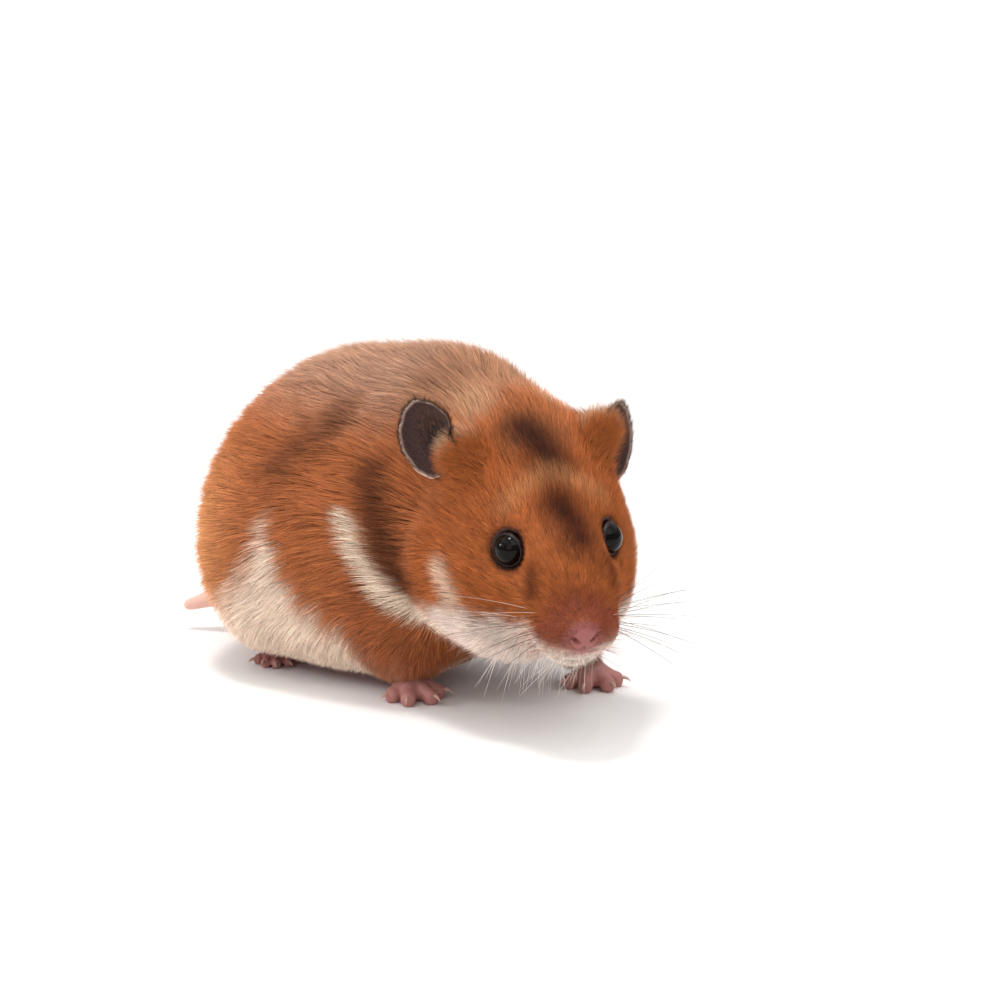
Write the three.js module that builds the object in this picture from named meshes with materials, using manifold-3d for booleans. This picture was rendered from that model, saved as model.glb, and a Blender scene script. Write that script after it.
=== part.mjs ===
// A Syrian hamster at life size, as a still museum model: it walks, with its belly
// close to the floor and its head turned to its right. Millimetres, +Z up, nose
// towards -Y, +X on the animal's left, the floor at Z = 0.
//
// The flesh and coat are one blended shape made of named masses. Rays from a line
// inside the body find its surface, and thin cuts part it into trunk, neck, head
// and legs. The solids reach out to the tips of the coat.

import * as THREE from 'three';
import { mergeVertices } from 'three/addons/utils/BufferGeometryUtils.js';
import Module from 'manifold-3d';

const wasm = await Module();
wasm.setup();

// ---- driving dimensions ----

const GAP = 0.3;               // clearance between touching pieces
const FAR = 200;               // half-spaces are boxes of this size
const BOX_CENTRE = { x: -0.01, y: -5.37 };  // middle of the whole animal, in body coordinates
const BELLY_CLEARANCE = 3;     // the belly is flattened this high above the floor
const TRUNK_NECK_Y = -17;      // cut between trunk and neck
const HEAD_NECK_F = -27;       // cut between neck and head, along the face

// Masses of the trunk: centre and radii, each with the width of its blend.
const TRUNK = {
  belly: { at: [0, 8, 31], r: [28.3, 33.8, 34.3], blend: 10 },
  rump: { at: [0, 21.8, 27.6], r: [27.6, 24, 24.2], blend: 10 },
  shoulders: { at: [0, -11.6, 41.6], r: [22.1, 21.5, 26], blend: 10 },
  neck: { at: [-1.5, -31.4, 46], r: [15.6, 16, 15.7], blend: 8 },
  throat: { at: [-4, -32, 24.5], r: [14, 15, 14.5], blend: 8 },
  thighRight: { at: [-16.5, 21.6, 21], r: [11.4, 16.3, 14.6], blend: 5 },
  thighLeft: { at: [16.5, 22.6, 21], r: [11.4, 16.3, 14.6], blend: 5 },
};

// The head's own axes: L to its left, F towards the nose, U up, from midway
// between the eyes.
const HEAD_PLACE = { at: [-13.1, -52.3, 37.2], yaw: -29.9, pitch: 19, roll: -3.1 };
const HEAD_BLEND = 8;
const HEAD = {
  cranium: { at: [0, -12.5, -1.8], r: [16.1, 15.2, 13.5], blend: 7 },
  cheekLeft: { at: [6.8, -7.5, -13.5], r: [10.3, 12, 10.7], blend: 8 },
  cheekRight: { at: [-8.2, -7.5, -14], r: [10.6, 12, 11], blend: 8 },
  jowlLeft: { at: [10.8, -18, -12.7], r: [9, 9, 9.5], blend: 8 },
  jowlRight: { at: [-12, -18, -13], r: [9, 9, 10], blend: 8 },
  bridge: { at: [0, 0.5, -1.3], r: [10.1, 10.5, 7], blend: 6 },
  muzzle: { at: [0, 1, -7.2], r: [10.4, 16, 8.8], blend: 6 },
  padLeft: { at: [3.2, 13, -9.8], r: [4, 4.6, 4.1], blend: 3 },
  padRight: { at: [-3.2, 13, -9.8], r: [4, 4.6, 4.1], blend: 3 },
  tip: { at: [0, 16.9, -8], r: [3, 2.9, 2.8], blend: 2.5 },
  chin: { at: [0, 10.5, -14], r: [4.8, 5.8, 4], blend: 4 },
  tuftLeft: { at: [12.6, -18.5, 11], r: [3.6, 3.6, 5], blend: 3 },
  tuftRight: { at: [-12.6, -19, 10], r: [4.2, 4, 4.6], blend: 4 },
};

// The face is hollowed round each eye.
const HOLLOWS = {
  eyeLeft: { at: [13.2, 3.4, 1.9], r: [5.7, 5.7, 5.4], blend: 1.6 },
  eyeRight: { at: [-13.2, 3.4, 1.9], r: [5.7, 5.7, 5.4], blend: 1.6 },
};

const EYE = { side: 9, up: 0.5, radius: 3.15 };
const NOSE = { at: [0, 18.72, -7.9], r: [2.7, 2, 1.7] };
const EAR = {
  right: { at: [19.2, -22, 12.2], lean: -3 },
  left: { at: [16.9, -21, 7.8], lean: -8 },
  halfWidth: 6.6, halfHeight: 7.6, thickness: 0.8, cup: 2.6,
  turn: 52, notch: 0.13, notchAngle: 205, notchWidth: 13,
};

// Each leg narrows from the elbow or the knee to the wrist or ankle.
const LEGS = {
  foreleg_right: { top: [-13.5, -12, 22], rTop: 9.5, end: [-11, -10.6, 6], rEnd: 5.2 },
  foreleg_left: { top: [15.5, -19, 22], rTop: 10, end: [18.6, -28.4, 6], rEnd: 4.6 },
  hindleg_right: { top: [-17.5, 21.5, 17], rTop: 10.5, end: [-12.6, 26, 6], rEnd: 5 },
  hindleg_left: { top: [17.5, 24, 17], rTop: 10.5, end: [14.4, 30.5, 6], rEnd: 5 },
};
const ANKLE_HEIGHT = 6;        // the legs end here and the paws begin

// The toes spread from the palm at these turns from the paw's heading. Headings
// turn from -Y towards -X.
const PAWS = {
  forepaw_right: { at: [-11.6, -12.4], heading: 30, kind: 'fore', side: -1 },
  forepaw_left: { at: [19.2, -31], heading: 36, kind: 'fore', side: 1 },
  hindfoot_right: { at: [-11.6, 26.2], heading: 44, kind: 'hind', side: -1 },
  hindfoot_left: { at: [15, 31.4], heading: -34, kind: 'hind', side: 1 },
};
const PAW_KINDS = {
  fore: {
    palm: [4.2, 4.4, 2.7], palmHeight: 2, palmBack: 0, toeBase: 2, toeLength: 5.9,
    toeTurns: [-64, -22, 22, 64], toeReach: [0.84, 1, 1, 0.84], rBase: 1.75, rTip: 1.6,
  },
  hind: {
    palm: [3.3, 7.2, 2.3], palmHeight: 1.8, palmBack: 4.2, toeBase: 1.4, toeLength: 5.6,
    toeTurns: [-58, -24, 0, 22, 54], toeReach: [0.72, 0.98, 1.04, 1, 0.78],
    rBase: 1.15, rTip: 1,
  },
};
const CLAW = { length: 1.4, radius: 0.42, drop: 0.5 };

const TAIL = {
  points: [[0, 40, 13], [-0.8, 46.3, 9.6], [-3.6, 52, 7.2], [-7.8, 57, 5.2]], rBase: 3, rTip: 1.3,
};

// ---- materials ----

const finish = (color, roughness) => ({ color, roughness, metalness: 0 });
const COAT = finish(0xa4602f, 0.9);
const DARK_COAT = finish(0x8a4f28, 0.9);
const PINK = finish(0xc98a80, 0.6);
const EAR_SKIN = finish(0x5a4a46, 0.75);
const EYE_BLACK = finish(0x0b0a0c, 0.05);
const HORN = finish(0xe0c9b4, 0.4);

// ---- fields: negative inside, zero on the surface, about millimetres outside ----

function ellipsoid([x, y, z], { at, r }) {
  const u = [(x - at[0]) / r[0], (y - at[1]) / r[1], (z - at[2]) / r[2]];
  const k0 = Math.hypot(...u);
  const k1 = Math.hypot(u[0] / r[0], u[1] / r[1], u[2] / r[2]);
  return k0 * (k0 - 1) / Math.max(k1, 1e-9);
}

function smoothUnion(a, b, width) {
  const h = Math.max(width - Math.abs(a - b), 0) / width;
  return Math.min(a, b) - h * h * width / 4;
}

function blendMasses(masses, point) {
  return Object.values(masses).reduce(
    (field, mass) => smoothUnion(field, ellipsoid(point, mass), mass.blend), Infinity);
}

const degrees = THREE.MathUtils.degToRad;
const headMatrix = new THREE.Matrix4()
  .makeRotationFromEuler(new THREE.Euler(
    degrees(HEAD_PLACE.pitch), degrees(HEAD_PLACE.roll), degrees(HEAD_PLACE.yaw), 'ZXY'))
  .setPosition(...HEAD_PLACE.at);
const headInverse = headMatrix.clone().invert();

// From (L, F, U) in the head to body coordinates, and back.
const fromHead = ([l, f, u]) => new THREE.Vector3(l, -f, u).applyMatrix4(headMatrix);
function toHead([x, y, z]) {
  const p = new THREE.Vector3(x, y, z).applyMatrix4(headInverse);
  return [p.x, -p.y, p.z];
}

function bodyField(point) {
  const trunk = blendMasses(TRUNK, point);
  const face = toHead(point);
  const whole = smoothUnion(trunk, blendMasses(HEAD, face), HEAD_BLEND);
  const hollowed = Object.values(HOLLOWS).reduce(
    (field, hollow) => -smoothUnion(-field, ellipsoid(face, hollow), hollow.blend), whole);
  return Math.max(hollowed, BELLY_CLEARANCE - point[2]);
}

// ---- surfaces ----

// Walks along a ray from inside a field until the field reaches the level asked.
function castRay(field, origin, direction, level, reach) {
  let t = 0;
  for (let step = 0; step < 70; step += 1) {
    const p = origin.clone().addScaledVector(direction, t);
    t = Math.min(Math.max(t + 0.9 * (level - field(p.toArray())), 0), reach);
  }
  return origin.clone().addScaledVector(direction, t);
}

// A line inside the body, from the rump to the middle of the head.
const spine = new THREE.CatmullRomCurve3([
  new THREE.Vector3(0, 24, 27), new THREE.Vector3(0, 8, 32), new THREE.Vector3(0, -12, 36),
  new THREE.Vector3(-3, -30, 40), fromHead([0, -10, -3]),
]);
const BODY_GRID = { around: 28, rows: 24, rumpCap: 0.28, frontCap: 0.14 };
const HEAD_GRID = { around: 30, rows: 26, middle: [0, -7, -6], faceAngle: 143, faceRows: 0.92 };

// A sphere's rows are dealt out along the spine, with a round cap at each end, and
// each vertex moves out along its ray to the body's surface.
function wrapTrunk(level) {
  const sphere = new THREE.SphereGeometry(1, BODY_GRID.around, BODY_GRID.rows);
  const place = sphere.attributes.position;
  const up = new THREE.Vector3(0, 0, 1);
  for (let i = 0; i < place.count; i += 1) {
    const v = new THREE.Vector3().fromBufferAttribute(place, i);
    const w = Math.acos(THREE.MathUtils.clamp(v.y, -1, 1)) / Math.PI;
    const turn = Math.atan2(v.z, v.x);
    const { rumpCap, frontCap } = BODY_GRID;
    const along = THREE.MathUtils.clamp((w - rumpCap) / (1 - rumpCap - frontCap), 0, 1);
    const tilt = w < rumpCap ? (w / rumpCap - 1) : Math.max((w - 1 + frontCap) / frontCap, 0);
    const tangent = spine.getTangentAt(along);
    const side = new THREE.Vector3().crossVectors(tangent, up).normalize();
    const down = new THREE.Vector3().crossVectors(tangent, side);
    const radial = side.multiplyScalar(Math.cos(turn)).addScaledVector(down, Math.sin(turn));
    const ray = tangent.multiplyScalar(Math.sin(tilt * Math.PI / 2))
      .addScaledVector(radial, Math.cos(tilt * Math.PI / 2));
    const p = castRay(bodyField, spine.getPointAt(along), ray.normalize(), level, 60);
    place.setXYZ(i, p.x, p.y, p.z);
  }
  return toSolid(sphere);
}

// Rays from the middle of the head, with the sphere's pole at the nose and most of
// its rows on the face.
function wrapHead(level) {
  const { around, rows, middle, faceAngle, faceRows } = HEAD_GRID;
  const sphere = new THREE.SphereGeometry(1, around, rows);
  const place = sphere.attributes.position;
  const centre = fromHead(middle);
  for (let i = 0; i < place.count; i += 1) {
    const v = new THREE.Vector3().fromBufferAttribute(place, i);
    const w = Math.acos(THREE.MathUtils.clamp(v.y, -1, 1)) / Math.PI;
    const turn = Math.atan2(v.z, v.x);
    const angle = degrees(w < faceRows ? faceAngle * (w / faceRows) ** 1.2
      : 180 - (180 - faceAngle) * (1 - w) / (1 - faceRows));
    const ray = fromHead([
      middle[0] + Math.sin(angle) * Math.cos(turn), middle[1] + Math.cos(angle),
      middle[2] + Math.sin(angle) * Math.sin(turn)]).sub(centre);
    const p = castRay(bodyField, centre, ray, level, 44);
    place.setXYZ(i, p.x, p.y, p.z);
  }
  return toSolid(sphere);
}

// A tube with round ends whose radius changes evenly from one end to the other.
function taperedCapsule(a, b, rA, rB, around, rows) {
  const sphere = new THREE.SphereGeometry(1, around, rows);
  const place = sphere.attributes.position;
  const start = new THREE.Vector3(...a);
  const axis = new THREE.Vector3(...b).sub(start);
  const turn = new THREE.Quaternion().setFromUnitVectors(
    new THREE.Vector3(0, 1, 0), axis.clone().normalize());
  for (let i = 0; i < place.count; i += 1) {
    const v = new THREE.Vector3().fromBufferAttribute(place, i);
    const atEnd = v.y > 1e-6;
    const p = v.applyQuaternion(turn).multiplyScalar(atEnd ? rB : rA).add(start);
    if (atEnd) p.add(axis);
    place.setXYZ(i, p.x, p.y, p.z);
  }
  return toSolid(sphere);
}

// Spreads a sphere's rows along a curve of spheres that shrink towards its end.
function taperedTube(points, rBase, rTip, around, rows) {
  const curve = new THREE.CatmullRomCurve3(points.map((p) => new THREE.Vector3(...p)));
  const sphere = new THREE.SphereGeometry(1, around, rows);
  const place = sphere.attributes.position;
  for (let i = 0; i < place.count; i += 1) {
    const v = new THREE.Vector3().fromBufferAttribute(place, i);
    const along = (1 + v.y) / 2;
    const radius = (rBase + (rTip - rBase) * along) * Math.sqrt(Math.hypot(v.x, v.z));
    const tangent = curve.getTangentAt(along);
    const side = new THREE.Vector3().crossVectors(tangent, new THREE.Vector3(0, 0, 1)).normalize();
    const over = new THREE.Vector3().crossVectors(side, tangent);
    const turn = Math.atan2(v.z, v.x);
    const p = curve.getPointAt(along)
      .addScaledVector(side, radius * Math.cos(turn)).addScaledVector(over, radius * Math.sin(turn));
    place.setXYZ(i, p.x, p.y, p.z);
  }
  return toSolid(sphere);
}

// A frame that mirrors its points turns a surface inside out, so that is put right.
function toSolid(geometry) {
  const bare = geometry.clone();
  bare.deleteAttribute('normal');
  bare.deleteAttribute('uv');
  const merged = mergeVertices(bare, 1e-4);
  const vertProperties = new Float32Array(merged.attributes.position.array);
  const triVerts = new Uint32Array(merged.index.array);
  const solid = new wasm.Manifold(new wasm.Mesh({ numProp: 3, vertProperties, triVerts }));
  if (solid.volume() > 0) return solid;
  return new wasm.Manifold(new wasm.Mesh({
    numProp: 3, vertProperties, triVerts: triVerts.reverse() }));
}

function toGeometry(solid) {
  const { numProp, vertProperties, triVerts } = solid.getMesh();
  const xyz = new Float32Array(vertProperties.length / numProp * 3);
  for (let i = 0; i < xyz.length / 3; i += 1) {
    xyz.set(vertProperties.subarray(i * numProp, i * numProp + 3), i * 3);
  }
  const geometry = new THREE.BufferGeometry();
  geometry.setAttribute('position', new THREE.BufferAttribute(xyz, 3));
  geometry.setIndex(new THREE.BufferAttribute(new Uint32Array(triVerts), 1));
  geometry.computeVertexNormals();
  return geometry;
}

// A box that fills space on one side of a plane, towards the plane's normal.
function halfSpace(point, normal) {
  const box = new THREE.BoxGeometry(FAR, FAR, FAR).translate(0, 0, FAR / 2);
  const turn = new THREE.Quaternion().setFromUnitVectors(
    new THREE.Vector3(0, 0, 1), normal.clone().normalize());
  box.applyQuaternion(turn).translate(point.x, point.y, point.z);
  return toSolid(box);
}

function ellipsoidSolid({ at, r }, around, rows, place) {
  const sphere = new THREE.SphereGeometry(1, around, rows);
  const position = sphere.attributes.position;
  for (let i = 0; i < position.count; i += 1) {
    const p = place([at[0] + r[0] * position.getX(i), at[1] + r[1] * position.getZ(i),
      at[2] + r[2] * position.getY(i)]);
    position.setXYZ(i, p.x, p.y, p.z);
  }
  return toSolid(sphere);
}

// ---- the ear: a rounded leaf, cupped forwards, with a small notch in its rim ----

function earSolid(side, { at, lean }) {
  const { halfWidth, halfHeight, thickness, cup, turn, notch } = EAR;
  const sphere = new THREE.SphereGeometry(1, 16, 7);
  const place = sphere.attributes.position;
  const outward = [Math.sin(degrees(turn)), Math.cos(degrees(turn)), 0.12];
  const across = [Math.cos(degrees(turn)), -Math.sin(degrees(turn)), 0];
  const rise = [Math.sin(degrees(lean)), -0.1, Math.cos(degrees(lean))];
  for (let i = 0; i < place.count; i += 1) {
    const [x, depth, y] = [place.getX(i) * side, place.getY(i), place.getZ(i)];
    const angle = THREE.MathUtils.radToDeg(Math.atan2(y, -x)) + 180;
    const dent = notch * Math.exp(-(((angle - EAR.notchAngle) / EAR.notchWidth) ** 2));
    const rim = Math.hypot(x, y);
    const reach = Math.sqrt(rim) * (1 - dent) / Math.max(rim, 1e-9);
    const [a, b] = [x * reach, y * reach];
    const c = cup * (a * a + b * b - 1)
      + thickness / 2 * Math.sign(depth) * Math.sqrt(Math.abs(depth));
    const [l, f, u] = [0, 1, 2].map(
      (k) => across[k] * a * halfWidth + rise[k] * b * halfHeight + outward[k] * c);
    const p = fromHead([side * (at[0] + l), at[1] + f, at[2] + u]);
    place.setXYZ(i, p.x, p.y, p.z);
  }
  return toSolid(sphere);
}

// ---- paws: a palm, a wrist stub and toes, flat underneath, with a claw on each toe ----

function pawPieces({ at, heading, kind, side }) {
  const shape = PAW_KINDS[kind];
  const onFloor = (distance, turn, z) => {
    const a = degrees(heading + turn * -side);
    return [at[0] - Math.sin(a) * distance, at[1] - Math.cos(a) * distance, z];
  };
  const palmPlace = ([a, b, c]) => {
    const forward = onFloor(b, 0, 0);
    const sideways = onFloor(a, -90 * side, 0);
    return new THREE.Vector3(
      forward[0] + sideways[0] - at[0], forward[1] + sideways[1] - at[1], c);
  };
  let paw = ellipsoidSolid(
    { at: [0, -shape.palmBack, shape.palmHeight], r: shape.palm }, 10, 6, palmPlace);
  const claws = shape.toeTurns.map((turn, i) => {
    const reach = shape.toeLength * shape.toeReach[i];
    const tipHeight = shape.rTip - 0.12;
    paw = paw.add(taperedTube([
      onFloor(shape.toeBase, turn, shape.rBase - 0.1),
      onFloor(reach * 0.62, turn, shape.rBase + 0.1),
      onFloor(reach + shape.rTip, turn, tipHeight)], shape.rBase, shape.rTip, 6, 5));
    const clear = shape.rTip + GAP;
    return taperedTube([
      onFloor(reach + clear * 0.94, turn, tipHeight + clear * 0.34),
      onFloor(reach + clear + CLAW.length * 0.6, turn, tipHeight + clear * 0.34),
      onFloor(reach + clear + CLAW.length, turn, tipHeight + clear * 0.34 - CLAW.drop)],
    CLAW.radius, CLAW.radius * 0.5, 4, 4);
  });
  return { paw, claws };
}

// ---- building ----

const animal = new THREE.Group();
animal.position.set(-BOX_CENTRE.x, -BOX_CENTRE.y, 0);

function addPiece(name, solid, look) {
  const mesh = new THREE.Mesh(toGeometry(solid), new THREE.MeshStandardMaterial(look));
  mesh.name = name;
  animal.add(mesh);
}

const faceAxis = fromHead([0, 1, 0]).sub(fromHead([0, 0, 0])).normalize();
const headCut = fromHead([0, HEAD_NECK_F, 0]);
const cutAt = (offset, normal) => halfSpace(
  headCut.clone().addScaledVector(faceAxis, offset), normal);
const backOfHead = faceAxis.clone().negate();

const body = wrapTrunk(0).intersect(cutAt(-GAP / 2, backOfHead));
const head = wrapHead(0).intersect(cutAt(GAP / 2, faceAxis));
const bodyAndGap = wrapTrunk(GAP).intersect(cutAt(GAP / 2, backOfHead));
const headAndGap = wrapHead(GAP).intersect(cutAt(-GAP / 2, faceAxis));
const aboveAnkles = halfSpace(new THREE.Vector3(0, 0, ANKLE_HEIGHT + GAP), new THREE.Vector3(0, 0, 1));
const belowAnkles = halfSpace(new THREE.Vector3(0, 0, ANKLE_HEIGHT), new THREE.Vector3(0, 0, -1));
const aboveFloor = halfSpace(new THREE.Vector3(0, 0, 0), new THREE.Vector3(0, 0, 1));

// A leg takes its bulge of the trunk with it: a wider capsule round the same line
// cuts both, and the trunk keeps a gap to it.
let behindHead = body;
const clearOfTrunk = {};
for (const [name, leg] of Object.entries(LEGS)) {
  const limb = taperedCapsule(leg.top, leg.end, leg.rTop, leg.rEnd, 14, 8);
  const inside = taperedCapsule(leg.top, leg.end, leg.rTop + 1, leg.rEnd + 2, 14, 8);
  const outside = taperedCapsule(
    leg.top, leg.end, leg.rTop + 1 + GAP, leg.rEnd + 2 + GAP, 14, 8);
  addPiece(name, body.add(limb).intersect(inside).subtract(headAndGap)
    .intersect(aboveAnkles), COAT);
  behindHead = behindHead.subtract(outside);
  clearOfTrunk[name] = bodyAndGap.subtract(inside);
}

for (const [name, place] of Object.entries(PAWS)) {
  const legName = name.replace('paw', 'leg').replace('foot', 'leg');
  const leg = LEGS[legName];
  const { paw, claws } = pawPieces(place);
  const stub = taperedCapsule(leg.end, [...place.at, 1.8], leg.rEnd - 1.2, 1.9, 8, 4);
  addPiece(name, paw.add(stub).intersect(belowAnkles).intersect(aboveFloor)
    .subtract(clearOfTrunk[legName]), PINK);
  claws.forEach((claw, i) => addPiece(`claw_${name}_${i + 1}`, claw, HORN));
}

const eyes = [-1, 1].map((side) => ellipsoidSolid({
  at: [side * EYE.side, 0, EYE.up], r: [EYE.radius, EYE.radius, EYE.radius] }, 14, 9, fromHead));
const sockets = [-1, 1].map((side) => ellipsoidSolid({
  at: [side * EYE.side, 0, EYE.up], r: Array(3).fill(EYE.radius + GAP) }, 14, 9, fromHead));
const nose = ellipsoidSolid(NOSE, 12, 7, fromHead);
const noseAndGap = ellipsoidSolid(
  { at: NOSE.at, r: NOSE.r.map((r) => r + GAP) }, 12, 7, fromHead);
const tail = taperedTube(TAIL.points, TAIL.rBase, TAIL.rTip, 9, 9);

const face = head.subtract(sockets[0]).subtract(sockets[1]).subtract(noseAndGap);
const backwards = new THREE.Vector3(0, 1, 0);
const trunk = behindHead.intersect(
  halfSpace(new THREE.Vector3(0, TRUNK_NECK_Y + GAP / 2, 0), backwards));
const neck = behindHead.intersect(
  halfSpace(new THREE.Vector3(0, TRUNK_NECK_Y - GAP / 2, 0), backwards.clone().negate()));

addPiece('trunk', trunk, COAT);
addPiece('neck', neck, COAT);
addPiece('head', face, DARK_COAT);
addPiece('nose', nose, PINK);
addPiece('eye_right', eyes[0], EYE_BLACK);
addPiece('eye_left', eyes[1], EYE_BLACK);
addPiece('ear_right', earSolid(-1, EAR.right).subtract(bodyAndGap).subtract(headAndGap), EAR_SKIN);
addPiece('ear_left', earSolid(1, EAR.left).subtract(bodyAndGap).subtract(headAndGap), EAR_SKIN);
addPiece('tail', tail.subtract(bodyAndGap), PINK);

export default animal;
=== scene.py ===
import bpy
import numpy as np
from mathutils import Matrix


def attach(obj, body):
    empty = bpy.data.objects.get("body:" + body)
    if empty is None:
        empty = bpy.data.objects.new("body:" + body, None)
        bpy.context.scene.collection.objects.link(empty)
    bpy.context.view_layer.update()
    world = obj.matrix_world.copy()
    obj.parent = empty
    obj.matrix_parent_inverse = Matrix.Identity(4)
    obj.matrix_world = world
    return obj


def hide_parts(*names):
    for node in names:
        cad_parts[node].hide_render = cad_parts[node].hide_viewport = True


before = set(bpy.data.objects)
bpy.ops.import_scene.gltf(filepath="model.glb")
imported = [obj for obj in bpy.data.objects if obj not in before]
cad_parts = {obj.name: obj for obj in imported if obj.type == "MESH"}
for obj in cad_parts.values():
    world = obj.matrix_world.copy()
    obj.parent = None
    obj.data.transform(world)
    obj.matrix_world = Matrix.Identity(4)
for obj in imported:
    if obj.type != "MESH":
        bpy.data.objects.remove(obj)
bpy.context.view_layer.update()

# ---------------------------------------------------------------------------------------------
# The flesh: a Syrian hamster's trunk, neck, head and upper legs. It is soft and round, so it is
# one blended shape of named masses, in millimetres, reaching out to the tips of the coat. The
# skin lies under that by the depth of the coat at each place.
# ---------------------------------------------------------------------------------------------

MM = 0.001
BODY_AT = np.array([0.01, 5.37, 0.0])  # where the body's own origin stands in the frame

TRUNK = {
    "belly": ((0, 8, 31), (28.3, 33.8, 34.3), 10),
    "rump": ((0, 21.8, 27.6), (27.6, 24, 24.2), 10),
    "shoulders": ((0, -11.6, 41.6), (22.1, 21.5, 26), 10),
    "neck": ((-1.5, -31.4, 46), (15.6, 16, 15.7), 8),
    "throat": ((-4, -32, 24.5), (14, 15, 14.5), 8),
    "thigh_right": ((-16.5, 21.6, 21), (11.4, 16.3, 14.6), 5),
    "thigh_left": ((16.5, 22.6, 21), (11.4, 16.3, 14.6), 5),
}
# The head's masses are in its own axes: L to its left, F towards the nose, U up.
HEAD = {
    "cranium": ((0, -12.5, -1.8), (16.1, 15.2, 13.5), 7),
    "cheek_left": ((6.8, -7.5, -13.5), (10.3, 12, 10.7), 8),
    "cheek_right": ((-8.2, -7.5, -14), (10.6, 12, 11), 8),
    "jowl_left": ((10.8, -18, -12.7), (9, 9, 9.5), 8),
    "jowl_right": ((-12, -18, -13), (9, 9, 10), 8),
    "bridge": ((0, 0.5, -1.3), (10.1, 10.5, 7), 6),
    "muzzle": ((0, 1, -7.2), (10.4, 16, 8.8), 6),
    "pad_left": ((3.6, 13, -9.8), (4.5, 4.7, 4.3), 3),
    "pad_right": ((-3.6, 13, -9.8), (4.5, 4.7, 4.3), 3),
    "tip": ((0, 16.9, -8), (3, 2.9, 2.8), 2.5),
    "chin": ((0, 10.5, -14), (4.8, 5.8, 4), 4),
    "tuft_left": ((12.6, -18.5, 11), (3.6, 3.6, 5), 3),
    "tuft_right": ((-12.6, -19, 10), (4.2, 4, 4.6), 4),
}
HOLLOWS = {
    "eye_left": ((13.2, 3.4, 1.9), (5.7, 5.7, 5.4), 1.6),
    "eye_right": ((-13.2, 3.4, 1.9), (5.7, 5.7, 5.4), 1.6),
}
# Each upper leg is a round cone, with its widest end hidden in the body.
LEGS = {
    "foreleg_right": ((-13.5, -12, 22), 9.5, (-11, -10.6, 6), 5.2),
    "foreleg_left": ((15.5, -19, 22), 10, (18.6, -28.4, 6), 4.6),
    "hindleg_right": ((-17.5, 21.5, 17), 10.5, (-12.6, 26, 6), 5),
    "hindleg_left": ((17.5, 24, 17), 10.5, (14.4, 30.5, 6), 5),
}


def turned(yaw, pitch, roll):
    """Rotation matrix: roll about the second axis, then pitch about the first, then yaw about the third."""
    y, p, r = np.radians([yaw, pitch, roll])
    about_z = np.array([[np.cos(y), -np.sin(y), 0], [np.sin(y), np.cos(y), 0], [0, 0, 1]])
    about_x = np.array([[1, 0, 0], [0, np.cos(p), -np.sin(p)], [0, np.sin(p), np.cos(p)]])
    about_y = np.array([[np.cos(r), 0, np.sin(r)], [0, 1, 0], [-np.sin(r), 0, np.cos(r)]])
    return about_z @ about_x @ about_y


HEAD_AT = np.array([-13.1, -52.3, 37.2]) + BODY_AT
HEAD_TURN = turned(-29.9, 19, -3.1)
MIRROR = np.array([1.0, -1.0, 1.0])


def to_head(p):
    return ((p - HEAD_AT) @ HEAD_TURN) * MIRROR


def from_head(q):
    return HEAD_AT + (np.asarray(q, float) * MIRROR) @ HEAD_TURN.T


def ellipsoid(p, centre, radii):
    """About the distance to an ellipsoid: k0 (k0 - 1) / k1, where k0 and k1 are the lengths of the
    point's offset over the radii once and twice."""
    q = (p - np.asarray(centre, float)) / np.asarray(radii, float)
    k0 = np.sqrt(np.sum(q * q, axis=-1))
    q = q / np.asarray(radii, float)
    return k0 * (k0 - 1) / np.maximum(np.sqrt(np.sum(q * q, axis=-1)), 1e-9)


def cone(p, a, ra, b, rb):
    """Distance to spheres whose centre and radius slide evenly from a to b."""
    a, b = np.asarray(a, float), np.asarray(b, float)
    t = np.clip((p - a) @ (b - a) / max((b - a) @ (b - a), 1e-9), 0, 1)
    return np.linalg.norm(p - a - t[..., None] * (b - a), axis=-1) - (ra + (rb - ra) * t)


def join(a, b, width):
    """Smooth union: the smaller field, less a parabola where the two are within the width of each other."""
    h = np.maximum(width - np.abs(a - b), 0) / width
    return np.minimum(a, b) - h * h * width / 4


def carve(a, b, width):
    """Smooth cut: takes b out of a."""
    return -join(-a, b, width)


def ramp(x, low, high):
    """0 below low, 1 above high, and an S curve between."""
    t = np.clip((x - low) / (high - low), 0, 1)
    return t * t * (3 - 2 * t)


def masses(p):
    """The fields of the trunk with the upper legs, and of the head."""
    q = to_head(p)
    trunk = np.full(p.shape[:-1], 1e3)
    for centre, radii, width in TRUNK.values():
        trunk = join(trunk, ellipsoid(p, np.array(centre) + BODY_AT, radii), width)
    for a, ra, b, rb in LEGS.values():
        trunk = join(trunk, cone(p, np.array(a) + BODY_AT, ra, np.array(b) + BODY_AT, rb), 6)
    head = np.full(p.shape[:-1], 1e3)
    for centre, radii, width in HEAD.values():
        head = join(head, ellipsoid(q, centre, radii), width)
    return trunk, head


def coat_top(p):
    """The field whose zero is the surface of the coat, over trunk, neck, head and upper legs."""
    q = to_head(p)
    whole = join(*masses(p), 8)
    for centre, radii, width in HOLLOWS.values():
        whole = carve(whole, ellipsoid(q, centre, radii), width)
    return np.maximum(whole, 3 - p[..., 2])


EYES = np.array([[-9, 0, 0.5], [9, 0, 0.5]])
EYE_RADIUS = 3.15
GAZE = np.array([[-0.80, 0.55, 0.24], [0.80, 0.55, 0.24]])


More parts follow.
